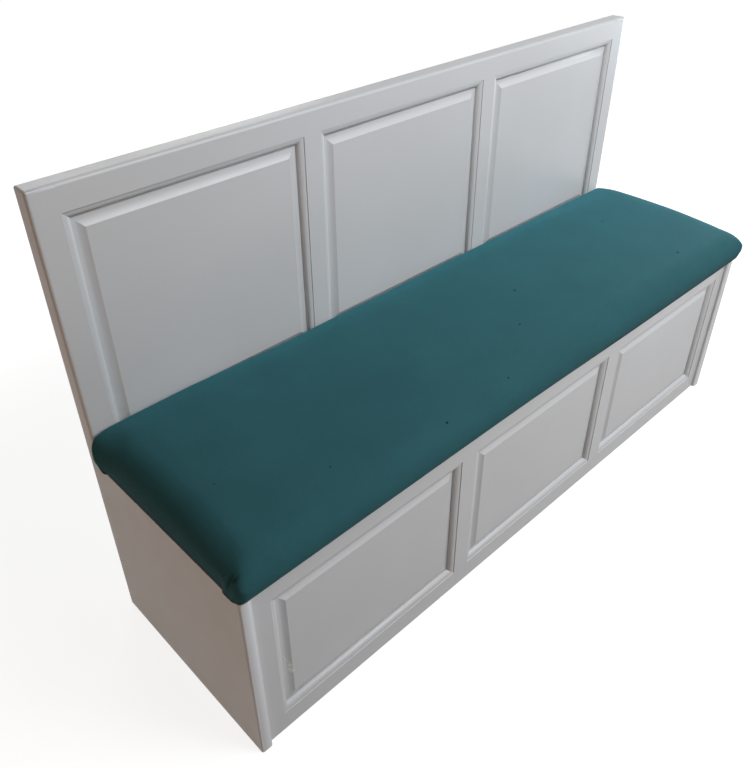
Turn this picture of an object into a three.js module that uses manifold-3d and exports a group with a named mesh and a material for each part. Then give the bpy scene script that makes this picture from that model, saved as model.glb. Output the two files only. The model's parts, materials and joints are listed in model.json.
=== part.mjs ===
// Storage bench of a corner set: a painted frame-and-panel chest, a high panelled back that runs
// down to the floor, and an upholstered seat that lifts off the chest.
// Millimetres. The front faces -Y, +X is to the right as seen from the front, +Z is up.
// The origin lies on the floor under the centre of the whole bench.
import * as THREE from 'three';
import { mergeVertices } from 'three/addons/utils/BufferGeometryUtils.js';
import Module from 'manifold-3d';

const wasm = await Module();
wasm.setup();

// Overall sizes
const bench_width = 1530;          // over the outer faces of the side panels
const back_height = 900;
const chest_height = 393.5;        // floor to the top edge that carries the seat
const face_depth = 438;            // rear face of the back to the face of the front frame

// Board thicknesses
const back_thickness = 38;
const front_thickness = 25;
const side_thickness = 22;
const base_thickness = 12;
const seat_board_thickness = 15;

// Side panels
const side_proud = 8;              // how far their front edge stands in front of the front frame
const side_edge_radius = 4;

// Flat widths of the frame members, up to where their moulding starts
const back_stile_width = 44.6;
const back_muntin_width = 38.2;
const back_top_rail_width = 45;
const back_seat_rail_width = 80;
const back_seat_rail_drop = 43.5;  // its flat lower edge below the top edge of the chest
const back_bottom_rail_width = 60;
const back_edge_radius = 6;        // rounded outer edges of the back
const back_corner_radius = 5;      // its two top corners, seen from the front
const front_stile_width = 35.6;
const front_muntin_width = 40.6;
const front_top_rail_width = 45.5;
const front_bottom_rail_width = 45;

// Moulding on the inner edges of the members: fillet, ovolo and foot, then the panel groove
const sticking_width = 12.8;
const fillet_drop = 1.5;
const fillet_width = 1;
const ovolo_drop = 8.1;
const foot_drop = 1;
const groove_width = 6.4;
const groove_depth = 9;

// Panels
const field_drop = 5;              // field of a panel below the face of its frame
const tongue_play = 1;             // a tongue stops this short of the bottom of its groove
const back_bevel_width = 19.9;
const front_bevel_width = 18.2;

// Tenons
const tenon_share = 1 / 3;         // of the thickness of the member
const tenon_length = 25;
const tenon_shoulder = 8;          // at each edge of the member

// Clearances
const joint_gap = 0.2;             // at shoulders and butt joints
const mitre_gap = 0.3;             // from the corner to the end of each moulded strip
const fit_gap = 0.2;               // round tenons, tongues and screws
const rest_gap = 0.3;              // under pieces that rest on others
const seam = 1;                    // overlap of shapes that are joined into one piece

// Battens inside the chest
const cleat_size = 20;
const cleat_base = 20;             // floor to the cleats under the base board
const corner_batten_size = 25;
const bearer_thickness = 20;

// Seat
const seat_front_overhang = 10;    // lower edge of the seat in front of the front frame
const seat_front_tuck = 11;        // the lower edge lies this far behind the fullest line
const seat_end_tuck = 4;
const seat_rear_gap = 0.5;         // between the seat and the back
const seat_bulge_height = 28;      // underside to the fullest line
const seat_height = 88;            // underside to the crown
const seat_front_fall = 26;        // the top drops this much towards the front
const seat_fall_start = 112;       // where that drop begins, in front of the back
const seat_end_fall = 4;           // the top drops this much towards the ends
const seat_front_round = 50;
const seat_rear_round = 22;
const seat_end_round = 24;
const seat_corner_radius = 14;
const least_corner_share = 0.2;    // of that radius, which the rings inside keep
const seat_front_draw = 2;         // the sides are drawn in this much between the corners
const seat_end_draw = 3;
const cover_thickness = 2;
const cover_hem = 16;              // turned under the board
const seat_batten_thickness = 20;
const seat_batten_drop = 28;       // below the seat board
const seat_batten_play = 3;        // between a seat batten and the chest

// Screws
const screw_head_radius = 4;
const screw_head_height = 3;
const screw_radius = 2;
const screw_bite = 12;             // into the second piece
const base_screws_a_side = 2;
const batten_screws = 2;           // in each corner batten, the bearer and each long seat batten

// Facets of the round shapes
const arc_steps = 6;
const edge_steps = 4;
const screw_sides = 6;
const seat_corner_steps = 3;
const seat_long_steps = 10;
const seat_short_steps = 5;

// Places that follow from the sizes, as distances in front of the rear face of the back
const front_inner = face_depth - front_thickness;
const seat_rear = back_thickness + seat_rear_gap;
const seat_front = face_depth + seat_front_overhang + seat_front_tuck;
const rear_y = seat_front / 2;
const half_width = bench_width / 2;
const inner_half = half_width - side_thickness;
const seat_base = chest_height + rest_gap;
const groove_drop = fillet_drop + ovolo_drop + foot_drop;
const back_seat_rail_base = chest_height - back_seat_rail_drop;
const fromRear = (distance) => rear_y - distance;

// Materials
const finish = (color, roughness, metalness = 0) =>
  new THREE.MeshStandardMaterial({ color, roughness, metalness });
const paint = () => finish(0xd8d5d0, 0.45);
const fabric = () => finish(0x3d7377, 0.95);
const foam = () => finish(0xe6dcb8, 1);
const plywood = () => finish(0xc8a878, 0.7);
const softwood = () => finish(0xd6b98a, 0.75);
const steel = () => finish(0xb4b6b8, 0.35, 1);

// Solids
function toSolid(geometry) {
  const bare = geometry.clone();
  bare.deleteAttribute('normal');
  bare.deleteAttribute('uv');
  const merged = mergeVertices(bare);
  return new wasm.Manifold(new wasm.Mesh({
    numProp: 3,
    vertProperties: Float32Array.from(merged.attributes.position.array),
    triVerts: Uint32Array.from(merged.index.array),
  }));
}

function toGeometry(solid) {
  const mesh = solid.getMesh();
  const geometry = new THREE.BufferGeometry();
  geometry.setAttribute('position', new THREE.BufferAttribute(mesh.vertProperties, 3));
  geometry.setIndex(new THREE.BufferAttribute(mesh.triVerts, 1));
  return geometry;
}

const sum = (solids) => solids.reduce((a, b) => a.add(b));

function block([x0, x1], [y0, y1], [z0, z1]) {
  const geometry = new THREE.BoxGeometry(x1 - x0, y1 - y0, z1 - z0);
  return toSolid(geometry.translate((x0 + x1) / 2, (y0 + y1) / 2, (z0 + z1) / 2));
}

const axis_x = new THREE.Vector3(1, 0, 0);
const axis_y = new THREE.Vector3(0, 1, 0);
const axis_z = new THREE.Vector3(0, 0, 1);
const minus = (axis) => axis.clone().negate();

// A shape whose first and second coordinates run along u and v, drawn out along w from a point
function drawn(points, length, u, v, w, from) {
  const shape = new THREE.Shape(points.map(([a, b]) => new THREE.Vector2(a, b)));
  const geometry = new THREE.ExtrudeGeometry(shape, { depth: length, bevelEnabled: false });
  return geometry.applyMatrix4(new THREE.Matrix4().makeBasis(u, v, w).setPosition(from));
}

const alongX = (points, [x0, x1]) =>
  toSolid(drawn(points, x1 - x0, axis_y, axis_z, axis_x, new THREE.Vector3(x0, 0, 0)));
const alongY = (points, [y0, y1]) =>
  toSolid(drawn(points, y1 - y0, axis_x, axis_z, minus(axis_y), new THREE.Vector3(0, y1, 0)));
const alongZ = (points, [z0, z1]) =>
  toSolid(drawn(points, z1 - z0, axis_x, axis_y, axis_z, new THREE.Vector3(0, 0, z0)));

// A rectangle whose corners have the radii given, from the lower left corner anticlockwise
function roundedRectangle([a0, a1], [b0, b1], radii) {
  const corners = [[a0, b0], [a1, b0], [a1, b1], [a0, b1]];
  const points = [];
  corners.forEach(([a, b], corner) => {
    const radius = radii[corner];
    const centre_a = a === a0 ? a + radius : a - radius;
    const centre_b = b === b0 ? b + radius : b - radius;
    for (let step = 0; step <= (radius ? edge_steps : 0); step += 1) {
      const angle = (Math.PI / 2) * (corner + 2 + step / edge_steps);
      points.push([centre_a + radius * Math.cos(angle), centre_b + radius * Math.sin(angle)]);
    }
  });
  return points;
}

// Pieces are gathered here: what is joined, what is cut away, and the finish
const pieces = new Map();
function piece(name, material, ...solids) {
  pieces.set(name, { material, joined: solids, cut: [] });
}
const join = (name, ...solids) => pieces.get(name).joined.push(...solids);
const cut = (name, ...solids) => pieces.get(name).cut.push(...solids);

// Section of the moulded edge of a member: inset from the flat face, then drop below that face
function stickingSection(thickness) {
  const ovolo = [];
  const reach = sticking_width - fillet_width;
  for (let step = 0; step <= arc_steps; step += 1) {
    const angle = (Math.PI / 2) * (step / arc_steps);
    ovolo.push([fillet_width + reach * Math.sin(angle),
      fillet_drop + ovolo_drop * (1 - Math.cos(angle))]);
  }
  const groove_floor = sticking_width - groove_depth;
  const groove_back = groove_drop + groove_width;
  return [[-seam, 0], [0, 0], [0, fillet_drop], ...ovolo, [sticking_width, groove_drop],
    [groove_floor, groove_drop], [groove_floor, groove_back], [sticking_width, groove_back],
    [sticking_width, thickness], [-seam, thickness]];
}

// A moulded strip with mitred ends along one side of an opening. It reaches a little into its member
function sticking(opening, side, frame) {
  const { x: [x0, x1], z: [z0, z1] } = opening;
  const [inset, along, from, length] = {
    left: [axis_x, axis_z, [x0, z0], z1 - z0],
    right: [minus(axis_x), minus(axis_z), [x1, z1], z1 - z0],
    bottom: [axis_z, minus(axis_x), [x1, z0], x1 - x0],
    top: [minus(axis_z), axis_x, [x0, z1], x1 - x0],
  }[side];
  const start = new THREE.Vector3(from[0], frame.face_y, from[1]);
  const strip = drawn(stickingSection(frame.thickness), length, inset, axis_y, along, start);
  const [near, far] = [mitre_gap, length - mitre_gap];
  const mitres = [[-seam, near], [0, near], [sticking_width, near + sticking_width],
    [sticking_width, far - sticking_width], [0, far], [-seam, far]];
  const plan = drawn(mitres, frame.thickness, inset, along, minus(axis_y),
    start.clone().addScaledVector(axis_y, frame.thickness));
  return toSolid(strip).intersect(toSolid(plan));
}

// Section of a raised panel across an opening: back, tongue, cove bevel, field
function panelSection([a0, a1], frame) {
  const tongue_edge = sticking_width - groove_depth + tongue_play;
  const low = groove_drop + fit_gap;
  const back = groove_drop + groove_width - fit_gap;
  const rise = low - field_drop;
  const radius = (frame.bevel_width ** 2 + rise ** 2) / (2 * rise);
  const cove = [];
  for (let step = 0; step <= arc_steps; step += 1) {
    const run = (frame.bevel_width * step) / arc_steps;
    cove.push([sticking_width + run, low - radius + Math.sqrt(radius ** 2 - run ** 2)]);
  }
  const half = [[tongue_edge, back], [tongue_edge, low], ...cove];
  const near = half.map(([inset, drop]) => [a0 + inset, drop]);
  const far = half.map(([inset, drop]) => [a1 - inset, drop]).reverse();
  return [...near, ...far];
}

function raisedPanel(opening, frame) {
  const across = panelSection(opening.x, frame).map(([x, drop]) => [x, frame.face_y + drop]);
  const upward = panelSection(opening.z, frame).map(([z, drop]) => [frame.face_y + drop, z]);
  return alongZ(across, opening.z).intersect(alongX(upward, opening.x));
}

function flatPanel(opening, frame) {
  const tongue_edge = sticking_width - groove_depth + tongue_play;
  const inside = ([low, high]) => [low + tongue_edge, high - tongue_edge];
  const front = frame.face_y + groove_drop + fit_gap;
  const thickness = groove_width - 2 * fit_gap;
  return block(inside(opening.x), [front, front + thickness], inside(opening.z));
}

// A tenon on the end of a member and the mortise for it, as one box with and without clearance
function tenonBox(frame, x, z, spare) {
  const thickness = frame.thickness * tenon_share;
  const y = frame.face_y + (frame.thickness - thickness) / 2;
  const grown = ([low, high]) => [low - spare, high + spare];
  return block(grown(x), grown([y, y + thickness]), grown(z));
}

// A muntin's tenon stops at the middle of its rail at the latest
const muntinTenon = (rail) => Math.min(tenon_length, (rail.z[1] - rail.z[0]) / 2);

function tenon(member, host, frame, x, z) {
  join(member, tenonBox(frame, x, z, 0));
  cut(host, tenonBox(frame, x, z, fit_gap));
}

// A frame of stiles, rails and muntins with its panels. Rails go from the lowest up, and each bay
// between two rails is divided into the panels that it names
function panelledFrame(frame) {
  const { name, thickness, face_y, height } = frame;
  const y = [face_y, face_y + thickness];
  const [left, right] = [frame.x[0] + frame.stile_width, frame.x[1] - frame.stile_width];
  piece(`${name}_left_stile`, paint(), block([frame.x[0], left], y, [0, height]));
  piece(`${name}_right_stile`, paint(), block([right, frame.x[1]], y, [0, height]));
  frame.rails.forEach((rail) => {
    const member = `${name}_${rail.name}_rail`;
    piece(member, paint(), block([left + joint_gap, right - joint_gap], y, rail.z));
    const z = [rail.z[0] + tenon_shoulder, rail.z[1] - tenon_shoulder];
    tenon(member, `${name}_left_stile`, frame, [left - tenon_length, left + seam + joint_gap], z);
    tenon(member, `${name}_right_stile`, frame, [right - seam - joint_gap, right + tenon_length], z);
  });
  frame.bays.forEach((bay, level) => {
    const [below, above] = [frame.rails[level], frame.rails[level + 1]];
    const z = [below.z[1], above.z[0]];
    const count = bay.panels.length;
    const panel_width = (right - left - (count - 1) * frame.muntin_width) / count;
    bay.panels.forEach((panel, index) => {
      const x0 = left + index * (panel_width + frame.muntin_width);
      const opening = { x: [x0, x0 + panel_width], z };
      const before = index === 0 ? `${name}_left_stile` : `${name}_${bay.muntins[index - 1]}_muntin`;
      const last = index === count - 1;
      const after = last ? `${name}_right_stile` : `${name}_${bay.muntins[index]}_muntin`;
      if (!last) {
        const muntin = [opening.x[1], opening.x[1] + frame.muntin_width];
        piece(after, paint(), block(muntin, y, [z[0] + joint_gap, z[1] - joint_gap]));
        const width = [muntin[0] + tenon_shoulder, muntin[1] - tenon_shoulder];
        const lower = [z[0] - muntinTenon(below), z[0] + seam + joint_gap];
        const upper = [z[1] - seam - joint_gap, z[1] + muntinTenon(above)];
        tenon(after, `${name}_${below.name}_rail`, frame, width, lower);
        tenon(after, `${name}_${above.name}_rail`, frame, width, upper);
      }
      join(before, sticking(opening, 'left', frame));
      join(after, sticking(opening, 'right', frame));
      join(`${name}_${below.name}_rail`, sticking(opening, 'bottom', frame));
      join(`${name}_${above.name}_rail`, sticking(opening, 'top', frame));
      const shape = bay.raised ? raisedPanel(opening, frame) : flatPanel(opening, frame);
      piece(`${name}_${panel}_panel`, paint(), shape);
    });
  });
}

const thirds = { panels: ['left', 'middle', 'right'], muntins: ['left', 'right'], raised: true };

// Front frame, between the side panels
panelledFrame({
  name: 'front',
  x: [-inner_half + joint_gap, inner_half - joint_gap],
  face_y: fromRear(face_depth),
  thickness: front_thickness,
  height: chest_height,
  stile_width: front_stile_width,
  muntin_width: front_muntin_width,
  bevel_width: front_bevel_width,
  rails: [
    { name: 'bottom', z: [0, front_bottom_rail_width] },
    { name: 'top', z: [chest_height - front_top_rail_width, chest_height] },
  ],
  bays: [thirds],
});

// Back, over the whole width and down to the floor
const back = {
  name: 'back',
  x: [-half_width, half_width],
  face_y: fromRear(back_thickness),
  thickness: back_thickness,
  height: back_height,
  stile_width: back_stile_width,
  muntin_width: back_muntin_width,
  bevel_width: back_bevel_width,
  rails: [
    { name: 'bottom', z: [0, back_bottom_rail_width] },
    { name: 'seat', z: [back_seat_rail_base, back_seat_rail_base + back_seat_rail_width] },
    { name: 'top', z: [back_height - back_top_rail_width, back_height] },
  ],
  bays: [{ panels: ['lower'], muntins: [], raised: false }, thirds],
};
panelledFrame(back);

// Rounded outer edges of the back. Where the side panels butt against it, its front edges stay square
const back_y = [back.face_y, back.face_y + back_thickness];
const [edge, corner] = [back_edge_radius, back_corner_radius];
const back_plan = alongZ(roundedRectangle(back.x, back_y, [edge, edge, edge, edge]), [0, back_height])
  .add(alongZ(roundedRectangle(back.x, back_y, [0, 0, edge, edge]), [0, chest_height]));
const back_side = alongX(roundedRectangle(back_y, [0, back_height], [0, 0, edge, edge]), back.x);
const back_face = alongY(roundedRectangle(back.x, [0, back_height], [0, 0, corner, corner]), back_y);
const back_envelope = back_plan.intersect(back_side).intersect(back_face);
const rounded = ['back_left_stile', 'back_right_stile', 'back_top_rail'];

// Side panels, from the back to just in front of the front frame
const side_y = [fromRear(face_depth + side_proud), fromRear(back_thickness + joint_gap)];
for (const [side, x] of [['left', [-half_width, -inner_half]], ['right', [inner_half, half_width]]]) {
  const section = roundedRectangle(x, side_y, [side_edge_radius, side_edge_radius, 0, 0]);
  piece(`${side}_side_panel`, paint(), alongZ(section, [0, chest_height]));
}

// Base board on four cleats
const chest_x = [-inner_half + joint_gap, inner_half - joint_gap];
const chest_y = [fromRear(front_inner - joint_gap), fromRear(back_thickness + joint_gap)];
const cleat_z = [cleat_base, cleat_base + cleat_size];
const base_z = [cleat_z[1] + rest_gap, cleat_z[1] + rest_gap + base_thickness];
const front_cleat_y = [chest_y[0], chest_y[0] + cleat_size];
const rear_cleat_y = [chest_y[1] - cleat_size, chest_y[1]];
const side_cleat_y = [front_cleat_y[1] + joint_gap, rear_cleat_y[0] - joint_gap];
piece('base_front_cleat', softwood(), block(chest_x, front_cleat_y, cleat_z));
piece('base_rear_cleat', softwood(), block(chest_x, rear_cleat_y, cleat_z));
piece('base_left_cleat', softwood(), block([chest_x[0], chest_x[0] + cleat_size], side_cleat_y, cleat_z));
piece('base_right_cleat', softwood(), block([chest_x[1] - cleat_size, chest_x[1]], side_cleat_y, cleat_z));
piece('base_board', plywood(), block(chest_x, chest_y, base_z));

// Bearer for the rear edge of the seat, on the seat rail of the back
const bearer_y = [chest_y[1] - bearer_thickness, chest_y[1]];
const bearer_z = [back_seat_rail_base, chest_height];
piece('seat_rear_bearer', softwood(), block(chest_x, bearer_y, bearer_z));

// Corner battens, from the base board to under the bearer
const batten_z = [base_z[1] + rest_gap, bearer_z[0] - rest_gap];
const batten_x = {
  left: [chest_x[0], chest_x[0] + corner_batten_size],
  right: [chest_x[1] - corner_batten_size, chest_x[1]],
};
const batten_y = {
  front: [chest_y[0], chest_y[0] + corner_batten_size],
  rear: [chest_y[1] - corner_batten_size, chest_y[1]],
};
for (const end of ['front', 'rear']) {
  for (const side of ['left', 'right']) {
    piece(`${end}_${side}_batten`, softwood(), block(batten_x[side], batten_y[end], batten_z));
  }
}

// Seat. One ring of points round its plan, drawn in from the fullest line by the amounts given,
// anticlockwise from the front right corner. Each point keeps its place before the draw as well
function seatRing(front, rear, end, radius) {
  const x = half_width - end;
  const y0 = fromRear(seat_front) + front;
  const y1 = fromRear(seat_rear) - rear;
  const corners = [[1, y0, 1], [1, y1, -1], [-1, y1, -1], [-1, y0, 1]];
  const steps = [seat_short_steps, seat_long_steps, seat_short_steps, seat_long_steps];
  const draws = [[-seat_end_draw, 0], [0, 0], [seat_end_draw, 0], [0, seat_front_draw]];
  const arcs = corners.map(([side, y, inward], corner_index) => {
    const arc = [];
    for (let step = 0; step <= seat_corner_steps; step += 1) {
      const angle = (Math.PI / 2) * (corner_index - 1 + step / seat_corner_steps);
      arc.push([side * (x - radius) + radius * Math.cos(angle),
        y + inward * radius + radius * Math.sin(angle)]);
    }
    return arc;
  });
  const ring = [];
  arcs.forEach((arc, index) => {
    const next = arcs[(index + 1) % arcs.length][0];
    const last = arc[seat_corner_steps];
    arc.forEach(([px, py]) => ring.push({ x: px, y: py, plain_x: px, plain_y: py }));
    for (let step = 1; step < steps[index]; step += 1) {
      const t = step / steps[index];
      const px = last[0] + (next[0] - last[0]) * t;
      const py = last[1] + (next[1] - last[1]) * t;
      const pull = 4 * t * (1 - t);
      const [draw_x, draw_y] = draws[index];
      ring.push({ x: px + draw_x * pull, y: py + draw_y * pull, plain_x: px, plain_y: py });
    }
  });
  return ring;
}

const place = (ring, height) => ring.map((p) => new THREE.Vector3(p.x, p.y, height(p)));
const seatCorner = (inset) =>
  Math.max(seat_corner_radius - inset, seat_corner_radius * least_corner_share);

// A ring on the upright part of the seat, at a height above its underside
function wallRing(height, skin) {
  const share = (1 - height / seat_bulge_height) ** 2;
  const ring = seatRing(seat_front_tuck * share + skin, skin, seat_end_tuck * share + skin,
    seatCorner(skin));
  return place(ring, () => seat_base + height);
}

// The rounding of one edge, from 0 at the fullest line to 1 where the top begins
function edgeRise(distance, round) {
  const share = Math.min(Math.max(distance / round, 0), 1);
  return Math.sqrt(1 - (1 - share) ** 2);
}

// A ring on the top of the seat, at an inset from the fullest line
function topRing(inset, skin) {
  const ring = seatRing(inset + skin, inset + skin, inset + skin, seatCorner(inset + skin));
  return place(ring, ({ plain_x, plain_y }) => {
    const from_front = plain_y - fromRear(seat_front) - skin;
    const from_rear = fromRear(seat_rear) - plain_y - skin;
    const from_end = half_width - Math.abs(plain_x) - skin;
    const run = Math.max(from_rear - seat_fall_start, 0) / (seat_front - seat_rear - seat_fall_start);
    const crown = seat_height - seat_front_fall * run ** 2
      - seat_end_fall * (plain_x / half_width) ** 4;
    const rise = edgeRise(from_front, seat_front_round) * edgeRise(from_rear, seat_rear_round)
      * edgeRise(from_end, seat_end_round);
    return seat_base + seat_bulge_height + (crown - seat_bulge_height) * rise - skin;
  });
}

// Seat rings joined into one closed body, from the first, which faces down, to the last, which faces
// up. Both are closed by rungs across the seat, from the middle of one end to the other. Faces that
// lie over each other are split alike, whichever way the rings run
function loft(rings) {
  const count = rings[0].length;
  const triangles = [];
  for (let level = 0; level + 1 < rings.length; level += 1) {
    for (let i = 0; i < count; i += 1) {
      const [a, b] = [level * count + i, level * count + ((i + 1) % count)];
      const falls = rings[level][i].z > rings[level + 1][i].z;
      if (falls) triangles.push(a, b, a + count, b, b + count, a + count);
      else triangles.push(a, b, b + count, a, b + count, a + count);
    }
  }
  const middle_of_side = seat_corner_steps + (seat_short_steps + 1) / 2;
  const cap = (level) => {
    const rungs = Array.from({ length: count / 2 }, (_, i) => [
      level * count + ((middle_of_side + i) % count),
      level * count + ((middle_of_side - 1 - i + count) % count),
    ]);
    return rungs.slice(1).flatMap(([c, d], i) => {
      const [a, b] = rungs[i];
      return [[a, c, d], [a, d, b]];
    });
  };
  cap(0).forEach(([a, b, c]) => triangles.push(a, c, b));
  cap(rings.length - 1).forEach((face) => triangles.push(...face));
  const geometry = new THREE.BufferGeometry();
  const points = rings.flat().flatMap((p) => [p.x, p.y, p.z]);
  geometry.setAttribute('position', new THREE.Float32BufferAttribute(points, 3));
  geometry.setIndex(triangles);
  return toSolid(geometry);
}

// Where the rings lie, as shares: of the height of the upright part, of the front rounding, and of
// the way from there to the middle of the seat
const wall_shares = [0.3, 0.65, 1];
const round_shares = [0.03, 0.1, 0.24, 0.48, 0.72, 1];
const flat_shares = [0.3, 0.62, 0.92];
const flat_reach = (seat_front - seat_rear) / 2 - seat_front_round;
const top_insets = [...round_shares.map((share) => seat_front_round * share),
  ...flat_shares.map((share) => seat_front_round + flat_reach * share)];
const seatWall = (skin) => wall_shares.map((share) => wallRing(seat_bulge_height * share, skin));
const seatTop = (skin) => top_insets.map((inset) => topRing(inset, skin));
const hemRing = (height) => place(
  seatRing(seat_front_tuck + cover_hem, cover_hem, seat_end_tuck + cover_hem, seatCorner(cover_hem)),
  () => seat_base + height,
);

// Cover: its inner face from the top down to the hem, then its outer face up to the top again
const inner_face = [wallRing(cover_thickness, cover_thickness),
  ...seatWall(cover_thickness), ...seatTop(cover_thickness)];
const outer_face = [wallRing(0, 0), ...seatWall(0), ...seatTop(0)];
piece('seat_cover', fabric(),
  loft([...inner_face.reverse(), hemRing(cover_thickness), hemRing(0), ...outer_face]));

// Seat board, clear of the cover all round
const board_skin = cover_thickness + rest_gap;
const board_inset = [seat_front_tuck + board_skin + seat_front_draw, board_skin,
  seat_end_tuck + board_skin + seat_end_draw];
const board_plan = roundedRectangle(
  [-half_width + board_inset[2], half_width - board_inset[2]],
  [fromRear(seat_front) + board_inset[0], fromRear(seat_rear) - board_inset[1]],
  [seat_corner_radius, seat_corner_radius, seat_corner_radius, seat_corner_radius],
);
const board_z = [seat_base + board_skin, seat_base + board_skin + seat_board_thickness];
piece('seat_board', plywood(), alongZ(board_plan, board_z));

// Foam, on the board and inside the cover
const foam_base = board_z[1] + rest_gap - seat_base;
const foam_rings = [wallRing(foam_base, board_skin), wallRing(seat_bulge_height, board_skin)];
piece('seat_foam', foam(), loft([...foam_rings, ...seatTop(board_skin)]));

// Battens under the seat board that drop inside the chest
const seat_batten_z = [board_z[0] - joint_gap - seat_batten_drop, board_z[0] - joint_gap];
const frame_batten_x = [-inner_half + seat_batten_play, inner_half - seat_batten_play];
const front_batten_y = [fromRear(front_inner - seat_batten_play),
  fromRear(front_inner - seat_batten_play - seat_batten_thickness)];
const rear_batten_y = [bearer_y[0] - seat_batten_play - seat_batten_thickness,
  bearer_y[0] - seat_batten_play];
const end_batten_y = [front_batten_y[1] + joint_gap, rear_batten_y[0] - joint_gap];
const end_batten_x = {
  left: [frame_batten_x[0], frame_batten_x[0] + seat_batten_thickness],
  right: [frame_batten_x[1] - seat_batten_thickness, frame_batten_x[1]],
};
piece('seat_front_batten', softwood(), block(frame_batten_x, front_batten_y, seat_batten_z));
piece('seat_rear_batten', softwood(), block(frame_batten_x, rear_batten_y, seat_batten_z));
for (const side of ['left', 'right']) {
  piece(`seat_${side}_batten`, softwood(), block(end_batten_x[side], end_batten_y, seat_batten_z));
}

// A countersunk screw, its head at the origin and its point along +Y, grown by a clearance. A hole
// with a clearance starts that much outside the face
function screwShape(length, spare) {
  const [head, shank] = [screw_head_radius + spare, screw_radius + spare];
  const start = spare ? [[0, -spare], [head, -spare], [head, 0]] : [[0, 0], [head, 0]];
  const profile = [...start, [shank, screw_head_height], [shank, length + spare], [0, length + spare]];
  return new THREE.LatheGeometry(profile.map(([r, y]) => new THREE.Vector2(r, y)), screw_sides);
}

// Screws of one kind, numbered: each has the point of its head, its direction, the piece it passes
// through, the thickness of that piece, and the piece it bites into
function screws(name, list) {
  list.forEach(({ at, towards, through, into, grip }, index) => {
    const turn = new THREE.Quaternion().setFromUnitVectors(axis_y, towards);
    const put = (geometry) => toSolid(geometry.applyQuaternion(turn).translate(...at));
    const hole = put(screwShape(grip + screw_bite, fit_gap));
    cut(through, hole);
    cut(into, hole);
    piece(`${name}_${index + 1}`, steel(), put(screwShape(grip + screw_bite, 0)));
  });
}

// The middle of a stretch, and the middles of its equal parts
const middle = ([low, high]) => (low + high) / 2;
const middles = ([low, high], count) =>
  Array.from({ length: count }, (_, i) => low + ((high - low) * (2 * i + 1)) / (2 * count));

screws('base_screw', [['base_front_cleat', front_cleat_y], ['base_rear_cleat', rear_cleat_y]]
  .flatMap(([into, y]) => middles(chest_x, base_screws_a_side).map((x) => ({
    at: [x, middle(y), base_z[1]], towards: minus(axis_z), through: 'base_board', into,
    grip: base_thickness,
  }))));

screws('bearer_screw', middles(chest_x, batten_screws).map((x) => ({
  at: [x, bearer_y[0], middle(bearer_z)], towards: axis_y, through: 'seat_rear_bearer',
  into: 'back_seat_rail', grip: bearer_thickness,
})));

screws('corner_screw', ['front', 'rear'].flatMap((end) => ['left', 'right'].flatMap((side) => {
  const x = side === 'left' ? batten_x.left[1] : batten_x.right[0];
  return middles(batten_z, batten_screws).map((z) => ({
    at: [x, middle(batten_y[end]), z], towards: side === 'left' ? minus(axis_x) : axis_x,
    through: `${end}_${side}_batten`, into: `${side}_side_panel`, grip: corner_batten_size,
  }));
})));

const seatScrew = (batten, x, y) => ({
  at: [x, middle(y), seat_batten_z[0]], towards: axis_z, through: `seat_${batten}_batten`,
  into: 'seat_board', grip: seat_batten_drop,
});
const long_middles = middles(frame_batten_x, batten_screws);
screws('seat_screw', [
  ...long_middles.map((x) => seatScrew('front', x, front_batten_y)),
  ...long_middles.map((x) => seatScrew('rear', x, rear_batten_y)),
  ...['left', 'right'].map((side) => seatScrew(side, middle(end_batten_x[side]), end_batten_y)),
]);

// The finished bench: each piece is one mesh, placed by the centre of its own box
const bench = new THREE.Group();
bench.name = 'corner_storage_bench';
for (const [name, { material, joined, cut: holes }] of pieces) {
  let solid = sum(joined);
  if (rounded.includes(name)) solid = solid.intersect(back_envelope);
  if (holes.length) solid = solid.subtract(sum(holes));
  const geometry = toGeometry(solid);
  geometry.computeBoundingBox();
  const centre = geometry.boundingBox.getCenter(new THREE.Vector3());
  geometry.translate(-centre.x, -centre.y, -centre.z);
  geometry.computeVertexNormals();
  const mesh = new THREE.Mesh(geometry, material);
  mesh.name = name;
  mesh.position.copy(centre);
  bench.add(mesh);
}

export default bench;
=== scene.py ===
import json
import math

import bmesh
import bpy
import numpy as np
from mathutils import Matrix, Vector
from mathutils.bvhtree import BVHTree
from mathutils.noise import noise as noise_at

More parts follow.
